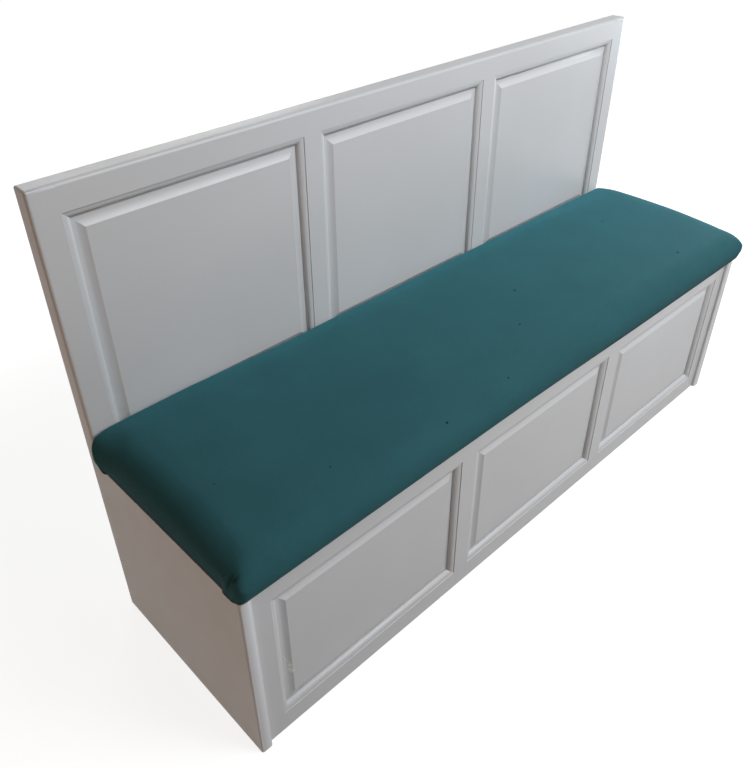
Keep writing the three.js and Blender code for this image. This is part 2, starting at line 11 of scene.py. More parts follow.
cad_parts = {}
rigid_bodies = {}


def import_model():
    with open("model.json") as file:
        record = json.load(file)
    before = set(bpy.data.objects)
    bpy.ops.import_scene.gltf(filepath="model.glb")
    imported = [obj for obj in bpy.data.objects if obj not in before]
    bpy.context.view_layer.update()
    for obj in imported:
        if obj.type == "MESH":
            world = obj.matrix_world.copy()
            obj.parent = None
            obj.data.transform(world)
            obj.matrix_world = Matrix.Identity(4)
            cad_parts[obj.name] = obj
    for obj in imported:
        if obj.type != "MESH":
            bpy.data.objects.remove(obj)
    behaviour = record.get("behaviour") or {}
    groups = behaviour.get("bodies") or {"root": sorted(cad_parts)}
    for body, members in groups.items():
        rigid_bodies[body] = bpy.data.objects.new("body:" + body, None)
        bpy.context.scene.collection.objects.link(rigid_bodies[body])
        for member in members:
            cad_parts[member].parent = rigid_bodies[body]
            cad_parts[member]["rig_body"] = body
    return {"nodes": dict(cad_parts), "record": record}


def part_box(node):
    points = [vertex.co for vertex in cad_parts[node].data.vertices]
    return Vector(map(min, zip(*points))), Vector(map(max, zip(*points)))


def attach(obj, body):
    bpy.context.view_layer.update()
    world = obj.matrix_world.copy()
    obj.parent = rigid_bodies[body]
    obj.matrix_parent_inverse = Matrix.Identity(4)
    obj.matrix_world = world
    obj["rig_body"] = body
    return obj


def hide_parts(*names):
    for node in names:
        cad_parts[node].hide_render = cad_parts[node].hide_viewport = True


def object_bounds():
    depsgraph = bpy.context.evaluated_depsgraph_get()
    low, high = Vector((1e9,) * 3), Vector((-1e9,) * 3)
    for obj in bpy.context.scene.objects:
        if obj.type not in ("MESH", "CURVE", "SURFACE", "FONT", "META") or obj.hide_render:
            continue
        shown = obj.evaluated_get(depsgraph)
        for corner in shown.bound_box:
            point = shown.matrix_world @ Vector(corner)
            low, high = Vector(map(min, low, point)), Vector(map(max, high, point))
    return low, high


# A painted storage bench with a lift-off upholstered seat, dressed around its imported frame.
# Metres, in the part's frame: the front faces -Y, +X is to the right, +Z is up.
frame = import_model()
cad_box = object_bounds()

MM = 0.001

# Image
photo_width = 743
photo_height = 768
focal_pixels = 778.98
optical_centre = (354.31, 369.75)

# Camera, fitted to the photograph
camera_place = (-1.1180, -0.8623, 1.3087)
camera_turn = (54.7233, 1.1575, -43.0783)        # in degrees
sensor_size = 36.0

# Dressing of the solid pieces
weld_distance = 0.01 * MM
flat_angle = math.radians(0.5)
smooth_angle = math.radians(35)
arris_angle = math.radians(25)
paint_build = 0.22 * MM          # thickness of the paint, which closes the joints
paint_arris = 0.35 * MM
outer_arris = 2.4 * MM           # along the outline of the chest and the back
wood_arris = 0.8 * MM
joint_reach = 0.8 * MM           # an edge this near to another painted piece lies in a joint
joint_probes = (0.1, 0.5, 0.9)   # the places along an edge where that is tested
outline_reach = 1 * MM           # an edge this near to the bench's top or an end lies along its outline
parallel_limit = 1e-3            # faces that lean less against each other count as one
arris_steps = 2
outer_steps = 4
arris_profile = 0.5              # round

# Screws: a countersunk head with a cross recess
head_sides = 32
head_radius = 4 * MM
head_depth = 3 * MM
shank_radius = 2 * MM
recess_reach = 2.3 * MM
recess_half_width = 0.55 * MM
recess_depth = 1.6 * MM
recess_floor_share = 0.55
length_digits = 5                # screws that are equally long to this many decimals share a mesh

# Seat: the sizes that its solid has, but with a rounder left end, a squarer rear edge, and ends that
# are hardly tucked in
front_tuck = 11 * MM
end_tuck = 0.3 * MM
bulge_height = 28 * MM
front_fall = 26 * MM
fall_start = 112 * MM
end_fall = 4 * MM
end_fall_power = 4
front_round = 50 * MM
rear_round = 10 * MM
left_round = 46 * MM
right_round = 22 * MM
corner_radius = 14 * MM
least_corner_share = 0.2
front_draw = 2 * MM
end_draw = 3 * MM
cloth_thickness = 1.5 * MM
hem_width = 16 * MM
foam_inset = 6 * MM              # room for the thickness and the unevenness of the cloth
round_fullness = 2.0
corner_fullness = 2.5            # how squarely two rounded edges meet in a corner

# The left end is rounded less tightly but more squarely towards the rear, where its corner is sharper
rear_left_round = 78 * MM
rear_left_fullness = 4
rear_left_reach = 60 * MM
rear_left_corner_share = 0.4

# The rear of the top has sunk, but not near its left end
rear_fall = 11.5 * MM
rear_fall_depth = 80 * MM
rear_fall_from, rear_fall_to = -0.68, -0.30

# Swelling of the sides past the solid
swell_reach = 60 * MM
left_swell = 2 * MM
right_swell = 5 * MM
rear_left_swell = 10 * MM
front_right_swell = 3 * MM

# Grid of the seat's cloth
grid_spacing = 16 * MM
round_steps = 14
wall_steps = 8
flat_margin = 16 * MM            # from the front rounding to the plain grid in the middle
margin_steps = 2

# The cloth's lower edge stands out and hangs down a little in front, on the right
sag_from, sag_to = -0.17, 0.36
sag_out = 3 * MM
sag_down = 4 * MM
sag_height = 16 * MM

# Fold of cloth turned under the board at each corner, on the end of the bench
fold_lengths = {"front_left": 42 * MM, "front_right": 38 * MM, "rear_left": 24 * MM, "rear_right": 30 * MM}
fold_onset = 4 * MM
fold_return = 16 * MM
fold_out = 4 * MM
fold_inner_out = 1.2 * MM        # the turned-under side of a fold stays outside the chest
fold_drop = 1.5 * MM
fold_drop_power = 4
fold_height = 40 * MM
hem_corner_radius = 5 * MM
hem_shade_height = 11 * MM       # painted shade darkens the lower edge fully to half of this, and then less so

# Rings of the hem, from its inner edge to the foot of the sides: inset from that foot, height, share
# of the corner fold, how far inside the seat's end the fold lies, share of the sag, and how much painted
# shade darkens it
hem_rings = [
    (hem_width, 0.0, 0.0, 0.0, 0, 1),
    (hem_width * 0.6, 0.0, 0.0, 0.0, 0, 1),
    (hem_width * 0.3, 0.0, 0.5, end_tuck, 0, 1),
    (2.4 * MM, 0.0, 1, -fold_inner_out, 0, 1),
    (1.2 * MM, 0.2 * MM, 1, -fold_inner_out - 0.4 * MM, 1, 1),
    (0.4 * MM, 0.9 * MM, 1, -fold_inner_out - 1.8 * MM, 1, 1),
    (0, 2.2 * MM, 1, end_tuck - fold_out, 1, 0.9),
]

# Creases on the left end, beside its front corner. Each has its two ends there, as distances behind
# the seat's front and above its underside
creases = [((29 * MM, 48 * MM), (34 * MM, 23 * MM)), ((20 * MM, 48 * MM), (26 * MM, 38 * MM))]
# Each crease is a groove in the cloth, and its colour is also darkened with painted shade
crease_depth = 2.4 * MM
crease_width = 2.2 * MM
crease_end = 0.1                 # of half a sine wave is left off at each end of a crease

# How the cloth swells, and how uneven it is
cloth_quality = 6
cloth_mass = 0.3
cloth_stiffness = 40
bending_stiffness = 8
swell_pressure = 4
swell_frames = 20
most_swell = 3 * MM
least_move = 1e-9                # keeps a division by the length of a move possible
held_height = 4 * MM
even_rounds = 14
dent_size = 110 * MM
dent_depth = 0.9 * MM
ripple_size = 38 * MM
ripple_depth = 0.25 * MM
ripple_shift = Vector((7, 3, 1))

# Specks on the cloth: places on the top of the seat, in the part's frame, and radii
specks = [(0.586, 0.170, 5.0 * MM), (0.537, 0.033, 4.6 * MM), (0.542, -0.167, 4.2 * MM),
          (0.111, -0.024, 4.2 * MM), (0.018, -0.108, 3.4 * MM), (-0.127, -0.194, 2.6 * MM),
          (-0.303, -0.199, 3.0 * MM), (-0.529, -0.152, 2.2 * MM), (-0.688, -0.062, 2.0 * MM)]

# Crack and chips in the paint of the front left panel
crack_points = [(-0.6904, -0.1982, 0.184), (-0.6860, -0.1991, 0.171), (-0.6813, -0.2009, 0.158),
                (-0.6770, -0.2025, 0.150)]
crack_width = 0.5 * MM
chip_places = [(-0.6790, -0.2020, 0.150), (-0.6797, -0.2015, 0.140), (-0.6775, -0.2030, 0.133)]
chip_radius = 6 * MM
chip_depth, crack_depth = 3.0, 2.0               # in the height of the brush strokes

# Where the edge of a spot fades out, in its radii, and that of the crack, in its widths, and how far and
# over which lengths the crack wanders, in its widths too
spot_fade = (1.15, 1.35)
crack_fade = (2.4, 3.4)
crack_wander = 4
crack_wander_size = 10

# Paint. A range says where on a noise from 0 to 1 the one tone passes into the other
stroke_size = 4 * MM
stroke_stretch = 0.06            # scale of the noise along the strokes
paint_grain_size = 1.1 * MM
paint_grain_share = 0.35
paint_cloud_size = 260 * MM
paint_cloud_range = (0.35, 0.65)
paint_gloss_size = 40 * MM
paint_gloss_range = (0.3, 0.7)
paint_roughness = (0.40, 0.44)
paint_relief = 0.06 * MM

# Bare wood
grain_stretch = 0.05             # scale of the noise along the grain
pine_ring_size = 14 * MM
ply_ring_size = 40 * MM
ring_count = 9.0
ring_share, fibre_share = 0.7, 0.4
fibre_size = 0.9 * MM
fibre_range = (0.2, 0.8)
wood_tone_range = (0.1, 1.0)
wood_roughness = (0.55, 0.75)
wood_relief = 0.08 * MM

# Weave of the cloth
thread_pitch = 1.1 * MM
thread_wander = 5.0              # in radians
thread_wander_size = 2.5         # in threads
thread_gap_share = 0.12          # of a darker tone shows between the threads
thread_gap_shade = 0.4           # of the cloth's shade is that tone
slub_size, slub_share = 7 * MM, 0.35
cloth_cloud_size, cloth_cloud_share = 90 * MM, 0.65
cloth_tone_range = (0.3, 0.7)
fuzz_size, fuzz_share = 0.6 * MM, 0.8
cloth_roughness = 0.9
cloth_relief = 0.08 * MM

# Foam and steel
foam_cell = 1.4 * MM
foam_cloud_size = 60 * MM
foam_shade = 0.9
foam_roughness = 1.0
foam_relief = 0.4 * MM
stain_size = 3 * MM
stain_shade = 0.8
stain_range = (0.2, 0.8)
steel_roughness = (0.25, 0.45)

# Colours, as linear light
paint_colour = (0.645, 0.645, 0.650)
paint_shade = (0.628, 0.625, 0.622)
chip_colour = (0.86, 0.83, 0.78)
cloth_colour = (0.0275, 0.1115, 0.1265)
cloth_shade = (0.0242, 0.0980, 0.1115)
dark_share = 0.1                 # of that shade is left in the specks, and is the painted shade in creases and on the turned-under edge
cloth_gloss = 0.2                # specular level
cloth_sheen = 0.25               # on the top, fading down the sides
sheen_roughness = 0.4
sheen_from, sheen_to = 25 * MM, 62 * MM
sheen_colour = (0.10, 0.80, 1.0)
pine_light = (0.70, 0.52, 0.32)
pine_dark = (0.52, 0.33, 0.17)
ply_light = (0.66, 0.50, 0.32)
ply_dark = (0.54, 0.38, 0.22)
foam_colour = (0.78, 0.70, 0.46)
steel_colour = (0.62, 0.62, 0.63)

# Floor
floor_reach = 12
floor_gap = 0.3 * MM
near_glow, far_glow = 0.85, 1.0
glow_from, glow_to = 1.0, 2.2    # distances from the bench's middle, between which the floor turns white
floor_seen_colour = (0.32, 0.32, 0.32)
floor_bounce_colour = (0.165, 0.128, 0.085)

# Light: place, aim, width, power and colour of each lamp
room_colour = (0.85, 0.93, 1.0)
room_strength = 0.03
lamps = {
    "front_window": ((0.3, -1.8, 2.2), (0.2, 0.1, 0.6), 1.4, 22, (0.94, 0.965, 1.0)),
    "right_window": ((0.9, -1.9, 2.4), (0.3, 0.1, 0.6), 1.4, 42, (0.93, 0.955, 1.0)),
    "right_wall": ((1.6, -0.7, 1.5), (0.5, 0.0, 0.5), 0.8, 2.5, (1.0, 1.0, 1.0)),
    "low_window": ((2.0, 0.1, 0.75), (0.3, 0.0, 0.5), 0.45, 14, (0.75, 0.90, 1.0)),
    "left_wall": ((-2.6, -0.2, 0.8), (-0.6, 0.0, 0.4), 1.4, 5.3, (1.0, 0.51, 0.20)),
    "rear_window": ((0.1, 2.4, 2.2), (0.0, 0.2, 0.6), 1.4, 10.2, (1.0, 0.98, 0.93)),
    "rear_wall": ((1.0, 2.3, 1.0), (0.0, 0.2, 0.5), 1.0, 12, (1.0, 0.99, 0.97)),
}

# The seat's solid, which its cloth follows
seat_low, seat_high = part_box("seat_cover")
seat_base = seat_low.z
seat_height = seat_high.z - seat_low.z
seat_front, seat_rear = seat_low.y, seat_high.y
half_width = (seat_high.x - seat_low.x) / 2
plain_inset = front_round + flat_margin


# Shader nodes

# Sockets of a Mix node that mixes colours
mix_factor, mix_first, mix_second = 0, 6, 7
mix_result = 2


def new_tree(name):
    material = bpy.data.materials.new(name)
    material.use_nodes = True
    material.node_tree.nodes.clear()
    return material, material.node_tree


def add(tree, kind, values=None, **settings):
    """One shader node. A value is plain, or another node's output."""
    made = tree.nodes.new("ShaderNode" + kind)
    for key, value in settings.items():
        setattr(made, key, value)
    for key, value in (values or {}).items():
        if isinstance(value, bpy.types.NodeSocket):
            tree.links.new(value, made.inputs[key])
        else:
            made.inputs[key].default_value = value
    return made


def rgba(colour):
    return (*colour, 1)


def darker(colour, share):
    return [share * channel for channel in colour]


def math_of(tree, operation, *values):
    return add(tree, "Math", dict(enumerate(values)), operation=operation).outputs[0]


def vector_of(tree, operation, *values):
    made = add(tree, "VectorMath", dict(enumerate(values)), operation=operation)
    return made.outputs["Value" if operation in ("LENGTH", "DISTANCE", "DOT_PRODUCT") else "Vector"]


def noise(tree, place, size, detail=3, stretch=(1, 1, 1)):
    """Noise from 0 to 1 whose grains are about that size."""
    scaled = add(tree, "Mapping", {"Vector": place, "Scale": stretch}).outputs[0]
    return add(tree, "TexNoise", {"Vector": scaled, "Scale": 1 / size, "Detail": detail}).outputs[0]


def ranged(tree, value, low, high, to_low=0.0, to_high=1.0):
    """A smooth passage from one number to another, while the value goes from low to high."""
    numbers = {"Value": value, "From Min": low, "From Max": high, "To Min": to_low, "To Max": to_high}
    return add(tree, "MapRange", numbers, interpolation_type="SMOOTHSTEP").outputs[0]


def mixed(tree, factor, first, second):
    made = add(tree, "Mix", data_type="RGBA")
    for socket, value in ((mix_factor, factor), (mix_first, first), (mix_second, second)):
        if isinstance(value, bpy.types.NodeSocket):
            tree.links.new(value, made.inputs[socket])
        else:
            made.inputs[socket].default_value = value if socket == mix_factor else rgba(value)
    return made.outputs[mix_result]


def bump(tree, height, distance):
    return add(tree, "Bump", {"Height": height, "Distance": distance}).outputs[0]


def finish_tree(tree, **values):
    sockets = {key.replace("_", " "): value for key, value in values.items()}
    shader = add(tree, "BsdfPrincipled", sockets)
    add(tree, "OutputMaterial", {"Surface": shader.outputs[0]})


def spot(tree, place, centre, radius):
    """A mask of 1 inside an uneven spot."""
    away = vector_of(tree, "DISTANCE", place, centre)
    uneven = math_of(tree, "MULTIPLY", noise(tree, place, radius), radius)
    inner, outer = [radius * share for share in spot_fade]
    return ranged(tree, math_of(tree, "ADD", away, uneven), inner, outer, 1, 0)


def scratch(tree, place, start, end, width):
    """A mask of 1 along an uneven line."""
    start, end = Vector(start), Vector(end)
    along = (end - start).normalized()
    offset = vector_of(tree, "SUBTRACT", place, start)
    away = vector_of(tree, "LENGTH", vector_of(tree, "CROSS_PRODUCT", offset, along))
    wander = noise(tree, place, crack_wander_size * width)
    uneven = math_of(tree, "MULTIPLY", wander, crack_wander * width)
    inner, outer = [share * width for share in crack_fade]
    line = ranged(tree, math_of(tree, "ADD", away, uneven), inner, outer, 1, 0)
    reach = vector_of(tree, "DOT_PRODUCT", offset, along)
    inside = math_of(tree, "COMPARE", reach, (end - start).length / 2, (end - start).length / 2)
    return math_of(tree, "MULTIPLY", line, inside)


def strongest(tree, masks):
    total = masks[0]
    for mask in masks[1:]:
        total = math_of(tree, "MAXIMUM", total, mask)
    return total


# Materials

def paint(name, along, marked=False):
    """Satin paint, brushed along one axis, and cracked and chipped where it is marked."""
    material, tree = new_tree(name)
    place = add(tree, "TexCoord").outputs["Object"]
    stretch = [stroke_stretch if axis == along else 1 for axis in "XYZ"]
    strokes = noise(tree, place, stroke_size, detail=2, stretch=stretch)
    grain = noise(tree, place, paint_grain_size, detail=2)
    clouds = noise(tree, place, paint_cloud_size)
    colour = mixed(tree, ranged(tree, clouds, *paint_cloud_range), paint_shade, paint_colour)
    height = math_of(tree, "ADD", strokes, math_of(tree, "MULTIPLY", grain, paint_grain_share))
    if marked:
        crack = strongest(tree, [scratch(tree, place, a, b, crack_width)
                                 for a, b in zip(crack_points, crack_points[1:])])
        chips = strongest(tree, [spot(tree, place, centre, chip_radius) for centre in chip_places])
        colour = mixed(tree, strongest(tree, [crack, chips]), colour, chip_colour)
        height = math_of(tree, "SUBTRACT", height, math_of(tree, "MULTIPLY", chips, chip_depth))
        height = math_of(tree, "SUBTRACT", height, math_of(tree, "MULTIPLY", crack, crack_depth))
    gloss = noise(tree, place, paint_gloss_size)
    roughness = ranged(tree, gloss, *paint_gloss_range, *paint_roughness)
    finish_tree(tree, Base_Color=colour, Roughness=roughness, Normal=bump(tree, height, paint_relief))
    return material


def bare_wood(name, along, light, dark, ring_size):
    """Planed wood with its grain along one axis."""
    material, tree = new_tree(name)
    place = add(tree, "TexCoord").outputs["Object"]
    stretch = [grain_stretch if axis == along else 1 for axis in "XYZ"]
    rings = noise(tree, place, ring_size, detail=4, stretch=stretch)
    fibres = noise(tree, place, fibre_size, stretch=stretch)
    bands = math_of(tree, "PINGPONG", math_of(tree, "MULTIPLY", rings, ring_count), 1.0)
    tone = math_of(tree, "ADD", math_of(tree, "MULTIPLY", bands, ring_share),
                   math_of(tree, "MULTIPLY", fibres, fibre_share))
    colour = mixed(tree, ranged(tree, tone, *wood_tone_range), light, dark)
    roughness = ranged(tree, fibres, *fibre_range, *wood_roughness)
    finish_tree(tree, Base_Color=colour, Roughness=roughness, Normal=bump(tree, fibres, wood_relief))
    return material


def woven_cloth():
    """Plain-woven upholstery cloth. The weave follows the cloth's own grid, in metres."""
    material, tree = new_tree("seat_cloth")
    place = add(tree, "TexCoord").outputs["Object"]
    sheet = add(tree, "UVMap", uv_map="cloth").outputs[0]
    x, y, _ = add(tree, "SeparateXYZ", {"Vector": sheet}).outputs
    turns = 2 * math.pi / thread_pitch
    wander = noise(tree, place, thread_wander_size * thread_pitch, detail=2)
    uneven = math_of(tree, "MULTIPLY", wander, thread_wander)
    warp = math_of(tree, "SINE", math_of(tree, "MULTIPLY_ADD", x, turns, uneven))
    weft = math_of(tree, "SINE", math_of(tree, "MULTIPLY_ADD", y, turns, uneven))
    weave = math_of(tree, "MULTIPLY", warp, weft)
    slubs = noise(tree, place, slub_size)
    clouds = noise(tree, place, cloth_cloud_size, detail=4)
    tone = math_of(tree, "ADD", math_of(tree, "MULTIPLY", slubs, slub_share),
                   math_of(tree, "MULTIPLY", clouds, cloth_cloud_share))
    colour = mixed(tree, ranged(tree, tone, *cloth_tone_range), cloth_shade, cloth_colour)
    threads = ranged(tree, weave, -1.0, 1.0, 0.0, thread_gap_share)
    colour = mixed(tree, threads, colour, darker(cloth_shade, thread_gap_shade))
    plan = vector_of(tree, "MULTIPLY", place, (1, 1, 0))
    marks = strongest(tree, [spot(tree, plan, (px, py, 0), radius) for px, py, radius in specks])
    # The specks are dark marks on the cloth; the creases and the turned-under lower edge are darkened in the
    # same tone as painted shade
    stored = [add(tree, "Attribute", attribute_name=name).outputs["Fac"]
              for name in ("painted_hem_shade", "crease_and_painted_shade")]
    for mask in (marks, *stored):
        colour = mixed(tree, mask, colour, darker(cloth_shade, dark_share))
    height = math_of(tree, "SUBTRACT", add(tree, "SeparateXYZ", {"Vector": place}).outputs[2], seat_base)
    sheen = ranged(tree, height, sheen_from, sheen_to, 0.0, cloth_sheen)
    fuzz = noise(tree, place, fuzz_size, detail=2)
    relief = math_of(tree, "ADD", weave, math_of(tree, "MULTIPLY", fuzz, fuzz_share))
    finish_tree(tree, Base_Color=colour, Roughness=cloth_roughness, Specular_IOR_Level=cloth_gloss,
                Sheen_Weight=sheen, Sheen_Roughness=sheen_roughness, Sheen_Tint=rgba(sheen_colour),
                Normal=bump(tree, relief, cloth_relief))
    return material


def cut_foam():
    material, tree = new_tree("upholstery_foam")
    place = add(tree, "TexCoord").outputs["Object"]
    cells = add(tree, "TexVoronoi", {"Vector": place, "Scale": 1 / foam_cell}).outputs["Distance"]
    clouds = noise(tree, place, foam_cloud_size)
    colour = mixed(tree, clouds, foam_colour, darker(foam_colour, foam_shade))
    finish_tree(tree, Base_Color=colour, Roughness=foam_roughness, Normal=bump(tree, cells, foam_relief))
    return material


def plated_steel():
    material, tree = new_tree("zinc_plated_steel")
    place = add(tree, "TexCoord").outputs["Object"]
    stains = noise(tree, place, stain_size)
    colour = mixed(tree, stains, steel_colour, darker(steel_colour, stain_shade))
    roughness = ranged(tree, stains, *stain_range, *steel_roughness)
    finish_tree(tree, Base_Color=colour, Metallic=1.0, Roughness=roughness)
    return material


# Solid pieces, dressed from the frame's own meshes

def welded(node):
    """A frame node's mesh with its split corners joined and its flat faces whole."""
    bm = bmesh.new()
    bm.from_mesh(frame["nodes"][node].data)
    bmesh.ops.remove_doubles(bm, verts=bm.verts, dist=weld_distance)
    bmesh.ops.dissolve_limit(bm, angle_limit=flat_angle, verts=bm.verts, edges=bm.edges)
    bm.normal_update()
    return bm


def grow(bm, distance):
    """Moves every face out by a distance. Each corner goes to where its faces meet then."""
    moves = []
    for vert in bm.verts:
        normals = []
        for face in vert.link_faces:
            if all(face.normal.dot(normal) < math.cos(flat_angle) for normal in normals):
                normals.append(face.normal)
        planes = np.array([tuple(normal) for normal in normals])
        moves.append(np.linalg.lstsq(planes, np.full(len(planes), distance), rcond=parallel_limit)[0])
    for vert, move in zip(bm.verts, moves):
        vert.co += Vector(move)
        vert.co.z = max(vert.co.z, 0)


def free_arrises(bm, others):
    """The convex edges that lie in no joint with other pieces."""
    found = []
    for edge in bm.edges:
        if len(edge.link_faces) != 2 or not edge.is_convex or edge.calc_face_angle() < arris_angle:
            continue
        ends = [vert.co for vert in edge.verts]
        points = [ends[0].lerp(ends[1], share) for share in joint_probes]
        if not any(tree.find_nearest(p, joint_reach)[0] for tree in others for p in points):
            found.append(edge)
    return found


def new_piece(name, mesh, body, material):
    piece = bpy.data.objects.new(name, mesh)
    bpy.context.scene.collection.objects.link(piece)
    piece.data.materials.append(material)
    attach(piece, body)
    return piece


def node_body(node):
    return frame["nodes"][node]["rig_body"]


def on_outline(edge):
    """Whether an edge lies along the top or an end of the whole bench."""
    low, high = cad_box
    middle = (edge.verts[0].co + edge.verts[1].co) / 2
    at_end = abs(middle.x) > high[0] - outline_reach and middle.z > outline_reach
    return at_end or middle.z > high[2] - outline_reach


def soften(bm, edges, arris, steps):
    bmesh.ops.bevel(bm, geom=edges, offset=arris, segments=steps, profile=arris_profile,
                    affect="EDGES", clamp_overlap=True)


def dress(node, prefix, material, arris, build=0.0, others=()):
    """Stands a finer copy in for a frame node: with its paint on and its arrises softened."""
    bm = welded(node)
    edges = free_arrises(bm, others)
    if build:
        grow(bm, build)
        outline = [edge for edge in edges if on_outline(edge)]
        edges = [edge for edge in edges if edge not in outline]
        soften(bm, outline, outer_arris, outer_steps)
        edges = [edge for edge in edges if edge.is_valid]
    soften(bm, edges, arris, arris_steps)
    mesh = bpy.data.meshes.new(f"{prefix}_{node}")
    bm.to_mesh(mesh)
    bm.free()
    mesh.shade_smooth()
    mesh.set_sharp_from_angle(angle=smooth_angle)
    piece = new_piece(mesh.name, mesh, node_body(node), material)
    piece.modifiers.new("even_light", "WEIGHTED_NORMAL").keep_sharp = True
    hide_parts(node)


def nodes_of_slot(slot):
    return [part["node"] for part in frame["record"]["subparts"] if part["material_slot"] == slot]


def longest_axis(node):
    low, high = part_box(node)
    size = high - low
    return "XYZ"[max(range(3), key=lambda axis: size[axis])]


def dress_painted_pieces():
    names = nodes_of_slot("painted_wood")
    trees = {name: BVHTree.FromObject(frame["nodes"][name], bpy.context.evaluated_depsgraph_get())
             for name in names}
    finishes = {axis: paint(f"satin_paint_{axis}", axis) for axis in "XZ"}
    chipped = paint("satin_paint_chipped", "Z", marked=True)
    for name in names:
        upright = name.endswith("panel") or longest_axis(name) == "Z"
        finish = chipped if name == "front_left_panel" else finishes["Z" if upright else "X"]
        others = [tree for other, tree in trees.items() if other != name]
        dress(name, "painted", finish, paint_arris, paint_build, others)


def dress_bare_pieces():
    pine = {axis: bare_wood(f"pine_{axis}", axis, pine_light, pine_dark, pine_ring_size)
            for axis in "XYZ"}
    ply = bare_wood("birch_plywood", "X", ply_light, ply_dark, ply_ring_size)
    for name in nodes_of_slot("softwood"):
        dress(name, "pine", pine[longest_axis(name)], wood_arris)
    for name in nodes_of_slot("plywood"):
        dress(name, "birch", ply, wood_arris)


# Screws

def screw_mesh(length):
    """A screw with the top of its head at the origin and its point along -Z."""
    bm = bmesh.new()
    rims = []
    for radius, z in ((head_radius, 0), (shank_radius, -head_depth), (shank_radius, -length)):
        turns = [2 * math.pi * i / head_sides for i in range(head_sides)]
        rims.append([bm.verts.new((radius * math.cos(a), radius * math.sin(a), z)) for a in turns])
    reach, half = recess_reach, recess_half_width
    cross = [(reach, half), (half, half), (half, reach), (-half, reach), (-half, half), (-reach, half),
             (-reach, -half), (-half, -half), (-half, -reach), (half, -reach), (half, -half), (reach, -half)]
    for share, z in ((1, 0), (recess_floor_share, -recess_depth)):
        rims.append([bm.verts.new((x * share, y * share, z)) for x, y in cross])
    head, neck, tip, mouth, floor = rims
    for first, second in ((head, neck), (neck, tip), (mouth, floor)):
        for i, vert in enumerate(first):
            j = (i + 1) % len(first)
            bm.faces.new((vert, first[j], second[j], second[i]))
    bm.faces.new(tip)
    bm.faces.new(floor)
    ends = [edge for edge in bm.edges if len(edge.link_faces) == 1]
    bmesh.ops.triangle_fill(bm, edges=ends, use_beauty=True)
    bmesh.ops.recalc_face_normals(bm, faces=bm.faces)
    mesh = bpy.data.meshes.new("screw")
    bm.to_mesh(mesh)
    bm.free()
    mesh.shade_smooth()
    mesh.set_sharp_from_angle(angle=arris_angle)
    return mesh


def dress_screws():
    steel = plated_steel()
    meshes = {}
    for name in nodes_of_slot("steel"):
        low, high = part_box(name)
        axis = "XYZ".index(longest_axis(name))
        middle = (low + high) / 2
        across = (axis + 1) % 3
        widest = max(frame["nodes"][name].data.vertices, key=lambda vert: vert.co[across])
        head = min(low[axis], high[axis], key=lambda end: abs(end - widest.co[axis]))
        length = round(high[axis] - low[axis], length_digits)
        if length not in meshes:
            meshes[length] = screw_mesh(length)
            meshes[length].materials.append(steel)
        outward = Vector([0, 0, 0])
        outward[axis] = 1 if head > middle[axis] else -1
        place = middle.copy()
        place[axis] = head
        piece = bpy.data.objects.new(f"steel_{name}", meshes[length])
        bpy.context.scene.collection.objects.link(piece)
        piece.matrix_world = Matrix.Translation(place) @ outward.to_track_quat("Z", "Y").to_matrix().to_4x4()
        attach(piece, node_body(name))
        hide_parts(name)


# Seat

def smooth_share(value):
    value = min(max(value, 0), 1)
    return value * value * (3 - 2 * value)


def edge_rise(distance, radius, fullness=round_fullness):
    """The rounding of an edge, from 0 at the fullest line to 1 where the top begins."""
    share = min(max(distance / radius, 0), 1)
    return (1 - (1 - share) ** fullness) ** (1 / fullness)


def end_rise(x, y):
    """The rounding of the top towards the nearest end."""
    if x > 0:
        return edge_rise(half_width - x, right_round)
    near_rear = smooth_share(1 - (seat_rear - y) / rear_left_reach)
    radius = left_round + (rear_left_round - left_round) * near_rear
    fullness = round_fullness + (rear_left_fullness - round_fullness) * near_rear
    return edge_rise(half_width + x, radius, fullness)


def top_height(x, y):
    """Height of the top above the underside, over a place in the plan."""
    run = max(seat_rear - y - fall_start, 0) / (seat_rear - seat_front - fall_start)
    crown = seat_height - front_fall * run ** 2 - end_fall * (x / half_width) ** end_fall_power
    sunk = smooth_share((x - rear_fall_from) / (rear_fall_to - rear_fall_from))
    crown -= rear_fall * sunk * max(1 - (seat_rear - y) / rear_fall_depth, 0) ** 2
    missing = [1 - edge_rise(y - seat_front, front_round), 1 - edge_rise(seat_rear - y, rear_round),
               1 - end_rise(x, y)]
    rise = 1 - min(sum(share ** corner_fullness for share in missing) ** (1 / corner_fullness), 1)
    return bulge_height + (crown - bulge_height) * rise


def side_swell(x, y, share):
    """How far a point of the sides or the rounding stands out past the solid, along the bench and
    forward. share is 0 at the hem and 1 from the fullest line up."""
    near_end = smooth_share(1 - (half_width - abs(x)) / swell_reach)
    near_front = smooth_share(1 - (y - seat_front) / swell_reach)
    near_rear = smooth_share(1 - (seat_rear - y) / swell_reach)
    if x > 0:
        out = right_swell
    else:
        out = left_swell + rear_left_swell * near_rear
    forward = front_right_swell * smooth_share(x / half_width)
    return math.copysign(out * near_end * share, x), -forward * near_front * share


def ring_radius(inset):
    return max(corner_radius - inset, corner_radius * least_corner_share)


